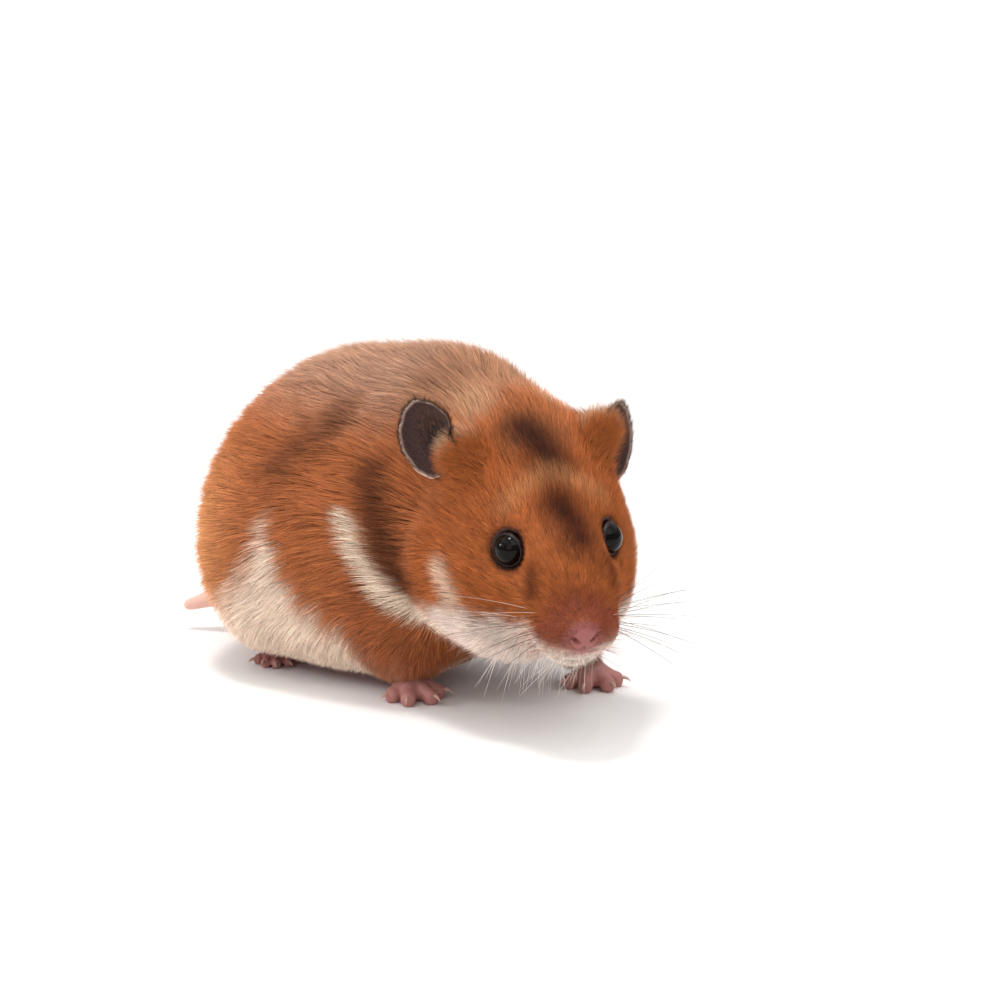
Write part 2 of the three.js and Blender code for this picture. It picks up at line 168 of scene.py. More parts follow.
def coat_depth(p):
    """How deep the coat is: 2.6 mm on the trunk, less towards the face, and least round the eyes, on
    the muzzle's tip and at the wrists."""
    q = to_head(p)
    depth = 2.6 - 1.3 * ramp(q[..., 1], -26, -12) * ramp(p[..., 2], 8, 22)
    depth = depth - 0.75 * ramp(q[..., 1], -6, 11)
    depth = depth - 0.35 * ramp(q[..., 1], 12.5, 16.5)
    near_eye = np.minimum(*(np.linalg.norm(q - eye, axis=-1) for eye in EYES))
    depth = 0.25 + (depth - 0.25) * ramp(near_eye, 3.2, 8.5)
    return depth * (0.3 + 0.7 * ramp(p[..., 2], 5, 15))


def skin_field(p):
    """The skin: the coat's surface less its depth, with a socket for each eye, nostrils, a cleft lip
    and a mouth."""
    q = to_head(p)
    skin = coat_top(p) + coat_depth(p)
    for eye in EYES:
        skin = np.maximum(skin, EYE_RADIUS + 0.12 - np.linalg.norm(q - eye, axis=-1))
    for side in (-1, 1):
        nostril = np.stack([q[..., 0] * side, q[..., 1], q[..., 2]], axis=-1)
        skin = carve(skin, ellipsoid(nostril, (1.5, 19.3, -8.4), (0.7, 1.4, 0.42)), 0.5)
        skin = carve(skin, ellipsoid(nostril, (2.2, 18.5, -7.8), (0.65, 1.2, 0.3)), 0.5)
    skin = carve(skin, ellipsoid(q, (0, 18.6, -11.3), (0.32, 2.0, 1.9)), 0.6)
    skin = carve(skin, ellipsoid(q, (0, 13.6, -13.0), (4.6, 4.4, 0.38)), 0.6)
    return skin


def net(field, xs, ys, zs, block=4):
    """Closed surface where a field is zero on a grid whose lines stand at xs, ys and zs. Each cell
    that the surface crosses gets one vertex, slid from the cell's centre along the field's slope on
    to the surface, and each grid edge with ends on both sides of it gets a quad between the four
    cells around. The field is worked out exactly only near the surface, found first on blocks of
    cells."""
    lines = [np.asarray(a, float) for a in (xs, ys, zs)]
    count = [len(a) for a in lines]
    middles = [np.array([a[i:i + block].mean() for i in range(0, len(a), block)]) for a in lines]
    reach = 0.5 * np.sqrt(sum((block * np.diff(a).max()) ** 2 for a in lines)) * 1.2 + 0.6
    coarse = field(np.stack(np.meshgrid(*middles, indexing="ij"), axis=-1))
    values = coarse
    for axis in range(3):
        values = np.repeat(values, block, axis=axis).take(range(count[axis]), axis=axis)
    near = np.argwhere(np.abs(values) < reach)
    values[tuple(near.T)] = field(np.stack([lines[k][near[:, k]] for k in range(3)], axis=-1))
    inside = values < 0
    cells = inside[:-1, :-1, :-1].copy()
    touched = inside[:-1, :-1, :-1].astype(np.int8)
    for corner in range(1, 8):
        part = inside[tuple(slice(1, None) if corner >> k & 1 else slice(None, -1) for k in range(3))]
        touched = touched + part
    active = (touched > 0) & (touched < 8)
    number = np.full(active.shape, -1)
    number[active] = np.arange(active.sum())
    where = np.argwhere(active)
    vertices = np.stack([(lines[k][where[:, k]] + lines[k][where[:, k] + 1]) / 2 for k in range(3)], axis=-1)
    vertices = settle(field, vertices, 4)
    quads = []
    for axis in range(3):
        low = tuple(slice(None, -1) if k == axis else slice(1, -1) for k in range(3))
        high = tuple(slice(1, None) if k == axis else slice(1, -1) for k in range(3))
        edge = np.argwhere(inside[low] != inside[high])
        leaving = inside[low][tuple(edge.T)]
        a, b = [k for k in range(3) if k != axis]
        ring = []
        for da, db in ((0, 0), (1, 0), (1, 1), (0, 1)):
            cell = edge.copy()
            cell[:, a] += da
            cell[:, b] += db
            ring.append(number[tuple(cell.T)])
        ring = np.stack(ring, axis=-1)
        flip = leaving if axis == 1 else ~leaving
        ring[flip] = ring[flip][:, ::-1]
        quads.append(ring)
    return vertices, np.concatenate(quads)


def slope(field, p, step=0.05):
    """The field's gradient, from differences along each axis."""
    return np.stack(
        [(field(p + step * axis) - field(p - step * axis)) / (2 * step) for axis in np.eye(3)], axis=-1)


def settle(field, p, times, level=0.0):
    """Points slid along the field's slope until it has the level."""
    for _ in range(times):
        g = slope(field, p)
        p = p - g * ((field(p) - level) / np.maximum(np.sum(g * g, axis=-1), 0.05))[..., None]
    return p


# The tail is a bare stub, carried low; it is part of the same skin.
TAIL = np.array([[0, 40, 13], [-0.8, 46.3, 9.6], [-3.6, 52, 7.2], [-7.8, 57, 5.2]]) + BODY_AT
TAIL_RADII = (3.2, 2.6, 2.0, 1.2)

# Paws: where the palm stands, the heading of its middle toe (from -Y towards -X), its kind, and
# which side of the body it is on. The toes fan out from the palm.
PAWS = {
    "forepaw_right": ((-11.6, -12.4), 30, "fore", -1, "foreleg_right"),
    "forepaw_left": ((19.2, -31), 36, "fore", 1, "foreleg_left"),
    "hindfoot_right": ((-11.6, 26.2), 44, "hind", -1, "hindleg_right"),
    "hindfoot_left": ((15, 31.4), -34, "hind", 1, "hindleg_left"),
}
PAW_KINDS = {
    "fore": dict(palm=(4.0, 4.2, 2.6), height=2.0, back=0, base=2.0, length=5.9,
                 turns=(-64, -22, 22, 64), reach=(0.84, 1, 1, 0.84), root=1.7, tip=1.5),
    "hind": dict(palm=(3.2, 7.1, 2.2), height=1.8, back=4.2, base=1.4, length=5.6,
                 turns=(-58, -24, 0, 22, 54), reach=(0.72, 0.98, 1.04, 1, 0.78), root=1.1, tip=0.98),
}


def on_floor(paw, distance, turn, z):
    """A point at a distance from the palm, at a turn from the paw's heading."""
    (x, y), heading, kind, side, leg = PAWS[paw]
    a = np.radians(heading - turn * side)
    return np.array([x - np.sin(a) * distance, y - np.cos(a) * distance, z]) + BODY_AT


def paw_field(paw):
    """A palm, its toes with a pad and a knuckle on each, and the wrist, blended where they meet and
    flat on the floor."""
    (x, y), heading, kind, side, leg = PAWS[paw]
    shape = PAW_KINDS[kind]
    a = np.radians(heading)
    forward = np.array([-np.sin(a), -np.cos(a), 0])
    across = np.array([-np.cos(a), np.sin(a), 0])
    middle = on_floor(paw, -shape["back"], 0, shape["height"])
    wrist, r_wrist = np.array(LEGS[leg][2]) + BODY_AT, LEGS[leg][3] - 1.35

    def field(p):
        out = p - middle
        local = np.stack([out @ across, out @ forward, out[..., 2]], axis=-1)
        hand = ellipsoid(local, (0, 0, 0), shape["palm"])
        hand = join(hand, cone(p, wrist + [0, 0, 1.5], r_wrist, on_floor(paw, -0.5, 0, 2.2), 2.2), 1.5)
        for turn, reach in zip(shape["turns"], shape["reach"]):
            length = shape["length"] * reach
            root, tip = shape["root"], shape["tip"]
            knuckle = on_floor(paw, length * 0.62, turn, root + 0.35)
            end = on_floor(paw, length, turn, tip + 0.02)
            toe = cone(p, on_floor(paw, shape["base"], turn, root + 0.3), root, knuckle, root * 0.94)
            toe = join(toe, cone(p, knuckle, root * 0.88, end, tip), 0.4)
            pad = on_floor(paw, length + 0.15, turn, tip * 0.55)
            toe = join(toe, np.linalg.norm(p - pad, axis=-1) - tip * 0.78, 0.4)
            hand = join(hand, toe, 0.55)
        return np.maximum(np.maximum(hand, 0.02 - p[..., 2]), p[..., 2] - 9)

    return field


def flesh(p):
    """Skin of trunk, neck, head and legs, with the tail's stub."""
    skin = skin_field(p)
    for a, ra, b, rb in zip(TAIL[:-1], TAIL_RADII[:-1], TAIL[1:], TAIL_RADII[1:]):
        skin = join(skin, cone(p, a, ra, b, rb), 1.5)
    return skin


# The grid is finest where the nose, lips and chin are.
skin_vertices, skin_quads = net(
    flesh, np.concatenate([np.arange(-31, -27, 0.8), np.arange(-27, -11, 0.36), np.arange(-11, 31, 0.8)]),
    np.concatenate([np.arange(-64, -50, 0.36), np.arange(-50, -26, 0.6), np.arange(-26, 65, 0.9)]),
    np.concatenate([np.arange(1, 17, 0.7), np.arange(17, 33, 0.4), np.arange(33, 69, 0.7)]))
# The coat's locks grow on the body's own net, not on the paws' nets, which are added next.
fur_vertices, fur_quads = skin_vertices, skin_quads
for paw in PAWS:
    stand = on_floor(paw, 0, 0, 0)
    low = stand - [12, 12, 0.4]
    high = stand + [12, 12, 9.6]
    v, q = net(paw_field(paw), *(np.arange(a, b, 0.3) for a, b in zip(low, high)))
    skin_quads = np.concatenate([skin_quads, q + len(skin_vertices)])
    skin_vertices = np.concatenate([skin_vertices, v])


def srgb(red, green, blue):
    """A colour from 0-255 screen values as linear light."""
    c = np.array([red, green, blue]) / 255
    return np.where(c < 0.04045, c / 12.92, ((c + 0.055) / 1.055) ** 2.4)


def stroke(p, points, width, soft):
    """1 within the width of a line of points, fading to 0 over the soft edge."""
    points = np.asarray(points, float)
    nearest = np.min([cone(p, a, 0, b, 0) for a, b in zip(points[:-1], points[1:])], axis=0)
    return 1 - ramp(nearest, width - soft / 2, width + soft / 2)


def mix(base, color, amount):
    return base + (color - base) * amount[..., None]


def markings(p):
    """The animal's colours at points on the coat: golden russet, greyer along the back, cream below
    with a crescent on the flank, a dark stripe and a white band behind the cheek, white lower
    cheeks, and dark patches on the forehead and between the eyes. Both sides are alike."""
    b = p - BODY_AT
    y, z = b[..., 1], b[..., 2]
    side = np.stack([np.zeros(y.shape), y, z], axis=-1)
    outer = ramp(np.abs(b[..., 0]), 4, 9)
    q = to_head(p)
    h = np.stack([-np.abs(q[..., 0]), q[..., 1], q[..., 2]], axis=-1)
    low_face = h[..., 2] - np.interp(
        h[..., 1], [-30, -17, -12, -8, -5, -1, 7, 12.5, 16],
        [-26, -21.5, -18.2, -16, -14, -13, -11.2, -8.6, -10])
    trunk, head = masses(p)
    on_head = ramp(trunk - head, -1.5, 2)

    # Slow waves in each edge, so that no marking ends in a clean line.
    waves = 0.9 * np.sin(0.9 * y + 0.6 * z) + 0.7 * np.sin(1.7 * z - 1.1 * y + 2)
    waves = waves + 0.5 * np.sin(2.9 * y + 2.3 * z)
    color = np.broadcast_to(srgb(184, 108, 64), p.shape).copy()
    color = mix(color, srgb(222, 150, 96), ramp(y, 12, 34) * (1 - ramp(z, 26, 56)))
    color = mix(color, srgb(184, 140, 114), ramp(z + waves, 48, 64) * ramp(y, -24, -12))
    color = mix(color, srgb(178, 130, 100), 0.9 * ramp(z + waves, 54, 62) * (1 - ramp(np.abs(y + 22), 4, 13)))
    color = mix(color, srgb(108, 62, 40), 0.7 * outer * stroke(
        side, [(0, 10, 44), (0, 5, 48.5), (0, 1, 51.5), (0, -3, 56)], 3.6, 8))
    belly = np.interp(
        y, [-24, -11, -6.2, -2.7, 1.6, 5.2, 6.7, 8.1, 9.6, 11.6, 13.7, 16.8, 21, 25, 33, 48],
        [4, 7.4, 10.2, 13.4, 17.1, 20.5, 24.3, 30, 35.5, 33, 28, 23.5, 19.2, 16, 13.5, 14])
    color = mix(color, srgb(250, 224, 202), 1 - ramp(z - belly + 1.3 * waves, -7.5, 4))
    color = mix(color, srgb(166, 94, 56), outer * 0.85 * stroke(side, [(0, -13, 21), (0, -11, 7)], 7, 4))
    face = np.broadcast_to(srgb(176, 97, 50), p.shape)
    color = mix(color, face, on_head)
    throat = ramp(-y, 20, 27) * (1 - ramp(z, 19, 24))
    white = np.maximum(throat, on_head * (1 - ramp(low_face + 0.6 * waves, -2.6, 2.0)))
    color = mix(color, srgb(238, 216, 202), white)
    color = mix(color, srgb(236, 204, 178), 0.9 * stroke(
        h, [(-20, -10.0, -9.2), (-19.5, -7.8, -11.2), (-18.6, -5, -12.8)], 1.9, 4.8))
    color = mix(color, srgb(100, 54, 34), 0.9 * outer * stroke(
        side, [(0, -13.7, 46), (0, -14.6, 41.5), (0, -15.5, 37.8), (0, -16.6, 33), (0, -17.6, 29.1),
               (0, -19.6, 25)],
        3.1, 5))
    color = mix(color, srgb(248, 224, 200), outer * stroke(
        side, [(0, -8.7, 36.6), (0, -9.7, 33.2), (0, -11.1, 30.2), (0, -13.2, 27), (0, -16, 23.6),
               (0, -19.3, 20.4), (0, -24, 17)], 2.0, 2.8))
    color = mix(color, srgb(206, 156, 120), 0.8 * (1 - ramp(
        np.linalg.norm(h - np.array([-9, -29.5, 15]), axis=-1), 2, 7)))
    color = mix(color, srgb(52, 22, 13), 0.95 * stroke(
        q, [(-2.2, -18, 15.2), (-0.6, -15, 14), (0.6, -12, 13), (1.0, -9.6, 12)], 4.4, 9))
    color = mix(color, srgb(58, 20, 8), 0.92 * stroke(
        q, [(0.2, -1.4, 8.2), (2.0, 2.0, 6.6), (2.4, 5.4, 5.0)], 3.6, 7.5))
    color = mix(color, srgb(196, 130, 84), 0.7 * stroke(
        h, [(-9.5, -5, 7), (-6, -6, 9.3), (-1, -7.5, 11)], 1.8, 5))
    color = mix(color, srgb(96, 46, 28), 0.75 * stroke(h, [(-7.6, 7.9, 0.9), (-7.8, 10, -2.5)], 1.4, 3.5))
    near_eye = np.minimum(*(np.linalg.norm(q - eye, axis=-1) for eye in EYES))
    color = mix(color, srgb(40, 20, 16), 1 - ramp(near_eye, 3.5, 4.9))
    color = mix(color, srgb(142, 70, 50), ramp(q[..., 1], 11.5, 15.5) * ramp(q[..., 2], -12, -8) * 0.8)
    color = mix(color, srgb(164, 98, 92), ramp(q[..., 1], 17.2, 18.8) * ramp(q[..., 2], -13, -10.5))
    color = mix(color, srgb(176, 112, 108), 0.85 * stroke(
        h, [(-4.4, 14, -11.6), (-2.6, 17, -11.8), (0, 18, -11.8)], 0.7, 1.6))
    return color


def paint(mesh, colors):
    """Stores a linear colour on each vertex as the attribute Tint."""
    tint = mesh.attributes.new("Tint", "FLOAT_COLOR", "POINT")
    rgba = np.ones((len(mesh.vertices), 4), np.float32)
    rgba[:, :3] = colors
    tint.data.foreach_set("color", rgba.ravel())


def solid(name, vertices, *tables):
    """A smooth mesh object from points in millimetres and tables of quads or triangles."""
    mesh = bpy.data.meshes.new(name)
    mesh.vertices.add(len(vertices))
    mesh.vertices.foreach_set("co", (np.asarray(vertices, np.float64) * MM).astype(np.float32).ravel())
    tables = [np.asarray(table, np.int32) for table in tables]
    corners = np.concatenate([np.full(len(table), table.shape[1]) for table in tables])
    starts = np.concatenate([[0], np.cumsum(corners)[:-1]]).astype(np.int32)
    mesh.loops.add(int(corners.sum()))
    mesh.loops.foreach_set("vertex_index", np.concatenate([table.ravel() for table in tables]))
    mesh.polygons.add(len(corners))
    mesh.polygons.foreach_set("loop_start", starts)
    mesh.polygons.foreach_set("use_smooth", np.ones(len(corners), bool))
    mesh.update(calc_edges=True)
    piece = bpy.data.objects.new(name, mesh)
    bpy.context.scene.collection.objects.link(piece)
    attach(piece, "root")
    return piece


def finish(name, roughness, **sockets):
    """A node material whose colour is the piece's Tint, with the given values on the shader's own
    sockets."""
    material = bpy.data.materials.new(name)
    material.use_nodes = True
    nodes, links = material.node_tree.nodes, material.node_tree.links
    shader = nodes["Principled BSDF"]
    shader.inputs["Roughness"].default_value = roughness
    for socket, value in sockets.items():
        shader.inputs[socket.replace("_", " ")].default_value = value
    tint = nodes.new("ShaderNodeAttribute")
    tint.attribute_name = "Tint"
    links.new(tint.outputs["Color"], shader.inputs["Base Color"])
    return material, nodes, links, shader


bare_pink = srgb(176, 118, 110)
body_skin = 0.7 * markings(settle(coat_top, skin_vertices, 1))
body_skin = mix(body_skin, bare_pink, 1 - ramp(skin_vertices[:, 2], 5, 8))
nose_pad = ramp(np.linalg.norm(to_head(skin_vertices) - np.array([0, 20.5, -8.4]), axis=-1), 2.6, 3.8)
body_skin = mix(body_skin, srgb(150, 86, 80), 1 - nose_pad)
tail_part = ramp(skin_vertices[:, 1], 50.5, 53) * (1 - ramp(skin_vertices[:, 2], 12, 15))
body_skin = mix(body_skin, srgb(232, 184, 168), tail_part)
skin = solid("skin", skin_vertices, skin_quads)
paint(skin.data, body_skin)
skin_material, nodes, links, shader = finish("hamster skin", 0.6)
coords = nodes.new("ShaderNodeTexCoord")
creases = nodes.new("ShaderNodeTexNoise")
creases.inputs["Scale"].default_value = 1400
creases.inputs["Detail"].default_value = 4
bump = nodes.new("ShaderNodeBump")
bump.inputs["Strength"].default_value = 0.35
bump.inputs["Distance"].default_value = 0.0002
links.new(coords.outputs["Object"], creases.inputs["Vector"])
links.new(creases.outputs["Fac"], bump.inputs["Height"])
links.new(bump.outputs["Normal"], shader.inputs["Normal"])
skin.data.materials.append(skin_material)
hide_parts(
    "trunk", "neck", "head", "nose", "tail", "foreleg_left", "foreleg_right", "hindleg_left",
    "hindleg_right", "forepaw_left", "forepaw_right", "hindfoot_left", "hindfoot_right")

# ---------------------------------------------------------------------------------------------
# Eyes: two moist balls, so dark a brown that they look black, one in each socket of the skin.
# They are glossy all over, and the lids close round them.
# ---------------------------------------------------------------------------------------------


def skinned(rings):
    """Closed surfaces over stacks of rings, an array of stack, ring, point: quads between the rings,
    and a fan of triangles to the middle of the first and of the last ring. Each ring turns
    clockwise, seen from the last ring."""
    count, rows, around = rings.shape[:3]
    points = np.concatenate([rings.reshape(count, -1, 3), rings[:, [0, -1]].mean(axis=2)], axis=1)
    i, j = np.meshgrid(np.arange(rows - 1), np.arange(around), indexing="ij")
    k = (j + 1) % around
    quads = np.stack([i * around + j, (i + 1) * around + j, (i + 1) * around + k, i * around + k], axis=-1)
    j, k = j[0], k[0]
    first = np.stack([np.full(around, rows * around), j, k], axis=-1)
    last = np.stack(
        [np.full(around, rows * around + 1), (rows - 1) * around + k, (rows - 1) * around + j], axis=-1)
    start = (np.arange(count) * (rows * around + 2))[:, None, None]
    fans = np.concatenate([first, last])
    quads = (start + quads.reshape(1, -1, 4)).reshape(-1, 4)
    return points.reshape(-1, 3), quads, (start + fans).reshape(-1, 3)


def ball(centre, radius, around=48, rows=30):
    """A sphere by longitude and latitude."""
    v, u = np.meshgrid(np.linspace(0.1, np.pi - 0.1, rows), np.linspace(0, 2 * np.pi, around, endpoint=False),
                       indexing="ij")
    rings = np.stack([np.sin(v) * np.cos(u), np.sin(v) * np.sin(u), np.cos(v)], axis=-1)
    return skinned((rings * radius + centre)[None])


eye_material = bpy.data.materials.new("wet black eye")
eye_material.use_nodes = True
nodes, links = eye_material.node_tree.nodes, eye_material.node_tree.links
shader = nodes["Principled BSDF"]
shader.inputs["Roughness"].default_value = 0.02
shader.inputs["IOR"].default_value = 1.22
iris = nodes.new("ShaderNodeTexNoise")
iris.inputs["Scale"].default_value = 900
brown = nodes.new("ShaderNodeMix")
brown.data_type = "RGBA"
brown.inputs["A"].default_value = (0.002, 0.0015, 0.002, 1)
brown.inputs["B"].default_value = (0.006, 0.003, 0.002, 1)
coords = nodes.new("ShaderNodeTexCoord")
links.new(coords.outputs["Object"], iris.inputs["Vector"])
links.new(iris.outputs["Fac"], brown.inputs["Factor"])
links.new(brown.outputs["Result"], shader.inputs["Base Color"])
for side, eye in zip(("right", "left"), EYES):
    piece = solid("eye_ball_" + side, *ball(from_head(eye), EYE_RADIUS))
    piece.data.materials.append(eye_material)
    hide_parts("eye_" + side)

# ---------------------------------------------------------------------------------------------
# Eyelids: a thin rim of dark bare skin round each eye. It is closed in a ring over the front of
# the ball, a little wrinkled on its outer edge and open widest from corner to corner.
# ---------------------------------------------------------------------------------------------

RIM_STEPS, RIM_SIDES = 96, 16
lid_material, nodes, links, shader = finish("eyelid skin", 0.42, Specular_IOR_Level=0.25)
for side, eye, gaze in zip(("right", "left"), EYES, GAZE):
    gaze = gaze / np.linalg.norm(gaze)
    along = np.cross(gaze, [0, 0, 1.0])
    along = along / np.linalg.norm(along)
    over = np.cross(along, gaze)
    turn, round_rim = np.meshgrid(
        np.linspace(0, 2 * np.pi, RIM_STEPS, endpoint=False),
        np.linspace(0, 2 * np.pi, RIM_SIDES, endpoint=False), indexing="ij")
    polar = np.radians(75 + 4 * np.cos(2 * turn) + 9 * np.cos(round_rim))
    reach = EYE_RADIUS + 0.06 + 0.22 * np.sin(round_rim) + 0.04 * np.sin(9 * turn) * (np.cos(round_rim) > 0)
    way = np.cos(turn)[..., None] * along + np.sin(turn)[..., None] * over
    points = eye + reach[..., None] * (np.cos(polar)[..., None] * gaze + np.sin(polar)[..., None] * way)
    i, j = np.meshgrid(np.arange(RIM_STEPS), np.arange(RIM_SIDES), indexing="ij")
    here, ahead = i * RIM_SIDES, (i + 1) % RIM_STEPS * RIM_SIDES
    across = (j + 1) % RIM_SIDES
    quads = np.stack([here + j, ahead + j, ahead + across, here + across], axis=-1).reshape(-1, 4)
    piece = solid("eyelid_" + side, from_head(points).reshape(-1, 3), quads)
    paint(piece.data, srgb(32, 17, 15))
    piece.data.materials.append(lid_material)

# ---------------------------------------------------------------------------------------------
# Claws: short curved horn, grown from the end of each toe. Each is a tapering tube, thickest near
# its root in the toe, and its tip bends down.
# ---------------------------------------------------------------------------------------------


def tubes(paths, radii, around=6):
    """Closed tapering tubes along several paths at once: each ring stands across its path."""
    paths = np.asarray(paths, float)
    along = np.gradient(paths, axis=1)
    along /= np.linalg.norm(along, axis=-1, keepdims=True)
    side = np.cross(along, [0, 0, 1.0])
    side /= np.maximum(np.linalg.norm(side, axis=-1, keepdims=True), 1e-6)
    over = np.cross(along, side)
    turn = np.linspace(0, -2 * np.pi, around, endpoint=False)
    ring = side[:, :, None] * np.cos(turn)[:, None] + over[:, :, None] * np.sin(turn)[:, None]
    return skinned(paths[:, :, None] + ring * np.asarray(radii)[..., None, None])


def bend(a, b, c, steps):
    """Points on the curve that leaves a towards b and ends at c."""
    t = np.linspace(0, 1, steps)[:, None]
    return a * (1 - t) ** 2 + 2 * b * t * (1 - t) + c * t ** 2


CLAW_RADII = np.array([0.02, 0.34, 0.37, 0.35, 0.31, 0.25, 0.18, 0.11, 0.02])
claw_paths = []
claw_names = []
for paw, (at, heading, kind, side, leg) in PAWS.items():
    shape = PAW_KINDS[kind]
    for i, (turn, reach) in enumerate(zip(shape["turns"], shape["reach"])):
        out = shape["length"] * reach + shape["tip"]
        claw_paths.append(bend(
            on_floor(paw, out - 0.7, turn, shape["tip"] * 1.25),
            on_floor(paw, out + 0.9, turn, shape["tip"] * 1.45),
            on_floor(paw, out + 1.6, turn, shape["tip"] * 0.75), len(CLAW_RADII)))
        claw_names.append(f"claw_{paw}_{i + 1}")
claws = solid("claws", *tubes(claw_paths, np.tile(CLAW_RADII, (len(claw_paths), 1)), 8))
paint(claws.data, srgb(196, 160, 148))
claw_material, nodes, links, shader = finish("claw horn", 0.35, Coat_Weight=0.2)
claws.data.materials.append(claw_material)
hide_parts(*claw_names)

# ---------------------------------------------------------------------------------------------
# Ears: thin rounded leaves of skin, dark inside with a pale rim that is lightened further as a
# painted highlight, each cupped forwards and outwards from the side of the head. A notch and small
# waves break the rim.
# ---------------------------------------------------------------------------------------------

EARS = {"right": (-1, (19.2, -22, 12.2), -3), "left": (1, (16.9, -21, 7.8), -8)}


def ear_points(side, at, lean, a, b, lift):
    """Points of the ear's leaf: a across and b up it, from -1 to 1, and lift off the middle of its
    thickness, in millimetres."""
    turn, lean = np.radians(52), np.radians(lean)
    outward = np.array([np.sin(turn), np.cos(turn), 0.12])
    across = np.array([np.cos(turn), -np.sin(turn), 0])
    rise = np.array([np.sin(lean), -0.1, np.cos(lean)])
    reach = np.sqrt(a * a + b * b)
    angle = np.degrees(np.arctan2(b, -a)) + 180
    dent = 1 - 0.17 * np.exp(-(((angle - 205) / 12) ** 2)) * ramp(reach, 0.5, 1)
    frill = 0.02 * np.sin(np.radians(5 * angle)) + 0.012 * np.sin(np.radians(11 * angle + 40))
    dent = dent + frill * ramp(reach, 0.5, 1)
    bowl = 2.6 * (reach ** 2 - 1) + 0.55 * ramp(reach, 0.75, 1) * reach
    bowl = bowl - 0.35 * np.exp(-((a * 2.2 + 0.3) ** 2)) * ramp(-b, -0.6, 0.6)
    q = np.array(at) + (a * dent * 6.6)[..., None] * across + (b * dent * 7.6)[..., None] * rise
    q = q + (bowl + lift)[..., None] * outward
    return from_head(q * [side, 1, 1])


ear_material, nodes, links, shader = finish("ear skin", 0.6, Specular_IOR_Level=0.2)
for name, (side, at, lean) in EARS.items():
    turns, rows = 96, 44
    u, v = np.meshgrid(
        np.linspace(0, 2 * np.pi, turns, endpoint=False), np.linspace(0.015, np.pi - 0.015, rows))
    reach = np.sin(v) ** 0.6
    a, b = reach * np.cos(u), reach * np.sin(u)
    lift = 0.36 * np.sign(np.cos(v)) * np.abs(np.cos(v)) ** 0.6 * (1 - 0.3 * reach)
    rings = ear_points(side, at, lean, a, b, lift)
    piece = solid("ear_leaf_" + name, *skinned(rings[None, :, ::-1] if side < 0 else rings[None]))
    inner = ramp(np.cos(v), -0.2, 0.3)
    tint = mix(np.broadcast_to(srgb(136, 92, 74), (rows, turns, 3)), srgb(60, 40, 38), inner)
    tint = mix(tint, srgb(34, 18, 17), inner * (1 - ramp(reach, 0.25, 0.8)))
    # The rim: pale skin, lightened further all round its edge as a painted highlight.
    tint = mix(tint, srgb(216, 184, 166), ramp(reach, 0.91, 0.99) * 0.85)
    tint = tint[:, ::-1] if side < 0 else tint
    paint(piece.data, np.concatenate([tint.reshape(-1, 3), tint[0, :1], tint[-1, :1]]))
    piece.data.materials.append(ear_material)
    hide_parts("ear_" + name)

# ---------------------------------------------------------------------------------------------
# The coat: short, dense, silky fur all over the skin, longest on the flanks and rump and finest
# on the face. Each lock is a closed sliver rooted in the skin, and lies back along the body.
# ---------------------------------------------------------------------------------------------

rng = np.random.default_rng(11)


def unit(v):
    return v / np.maximum(np.linalg.norm(v, axis=-1, keepdims=True), 1e-9)


def scatter(density, count):
    """Random points on the skin, more where the density is greater."""
    corners = fur_vertices[fur_quads]
    middle = corners.mean(axis=1)
    cross = np.cross(corners[:, 2] - corners[:, 0], corners[:, 3] - corners[:, 1])
    weight = 0.5 * np.linalg.norm(cross, axis=-1) * density(middle)
    quad = np.searchsorted(np.cumsum(weight) / weight.sum(), rng.random(count))
    s, t = rng.random((2, count, 1))
    a, b, c, d = (corners[quad, k] for k in range(4))
    return (a * (1 - s) + b * s) * (1 - t) + (d * (1 - s) + c * s) * t


NOSE_TIP = from_head((0, 19.8, -8.2))


def furred(p):
    """1 where fur grows, 0 on eyes, nose, mouth, tail and wrists."""
    q = to_head(p)
    bare = np.minimum(*(np.linalg.norm(q - eye, axis=-1) for eye in EYES)) < EYE_RADIUS + 0.35
    bare |= np.linalg.norm(q - [0, 20.6, -8.6], axis=-1) < 2.7
    bare |= np.linalg.norm((q - [0, 15.5, -13.1]) / [3.4, 4, 0.7], axis=-1) < 1
    bare |= (p[..., 1] > 51.5) & (p[..., 2] < 13.5) & (np.abs(p[..., 0] + 3) < 7)
    return ~bare & (p[..., 2] > 4.2)


def lock_length(p):
    """How long the locks are, from the depth of the coat: about 6.4 mm on the trunk and under 1 mm
    on the muzzle."""
    return 2.35 * coat_depth(p) + 0.25


def lie(p, n):
    """Which way the coat lies: back from the nose over the head, back and down over the trunk, and
    down the legs, in the skin's own plane, with a slow wander."""
    side = np.sign(p[..., :1]) * np.array([1.0, 0, 0])
    q = to_head(p)
    from_nose = unit(p - NOSE_TIP)
    sinking = ramp(45 - p[..., 2], 0, 25)[..., None]
    back = np.array([0, 1.0, 0]) + 0.12 * side + np.array([0, 0, -0.55]) * sinking
    down = np.array([0, 0.35, -1.0]) + 0.1 * side
    flow = mix(back, from_nose, 1 - ramp(-q[..., 1], 16, 36))
    flow = mix(flow, np.broadcast_to(down, p.shape), 1 - ramp(p[..., 2], 9, 20))
    flow = unit(flow - n * np.sum(flow * n, axis=-1, keepdims=True))
    x, y, z = p[..., 0], p[..., 1], p[..., 2]
    wander = 0.16 * np.sin(0.33 * x + 0.21 * y + 1) + 0.14 * np.sin(0.27 * y - 0.36 * z)
    wander = wander + 0.10 * np.sin(0.9 * z + 0.7 * x)
    wander = (wander + rng.normal(0, 0.13, x.shape))[..., None]
    return flow * np.cos(wander) + np.cross(n, flow) * np.sin(wander)


